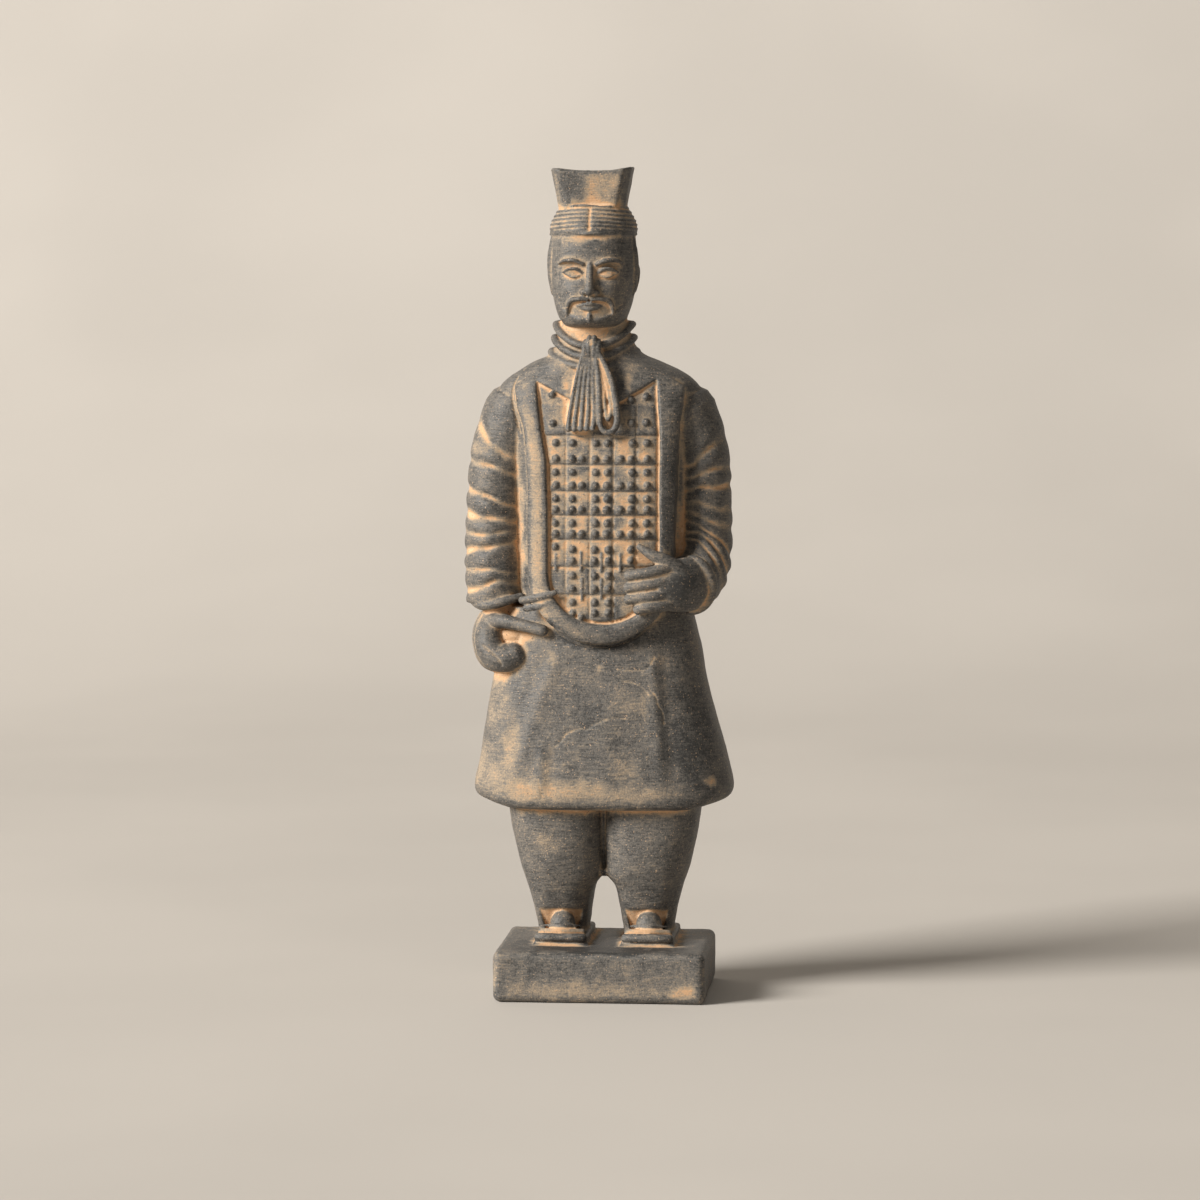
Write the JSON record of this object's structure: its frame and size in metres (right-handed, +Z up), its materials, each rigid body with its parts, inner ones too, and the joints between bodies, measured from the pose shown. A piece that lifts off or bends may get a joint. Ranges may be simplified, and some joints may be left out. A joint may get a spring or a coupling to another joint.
{
  "type": "terracotta warrior statue",
  "caption": "Standing clay figure of an armoured officer with a scarf, folded sleeves and a flared headdress, fused to a plain block plinth.",
  "frame": {"origin": "centre of the bounding box, on the plinth's underside", "axes": "+Z up, towards the headdress; the figure faces -Y; +X towards the figure's left hand, which lies on the belly"},
  "size_m": [0.0658, 0.042, 0.2],
  "materials": {
    "fired_clay": "matt unglazed fired clay with a dark grey slip worn off raised edges, and ochre clay left showing in the hollows"
  },
  "bodies": {
    "root": {"terracotta_warrior": "fired_clay"}
  },
  "joints": []
}
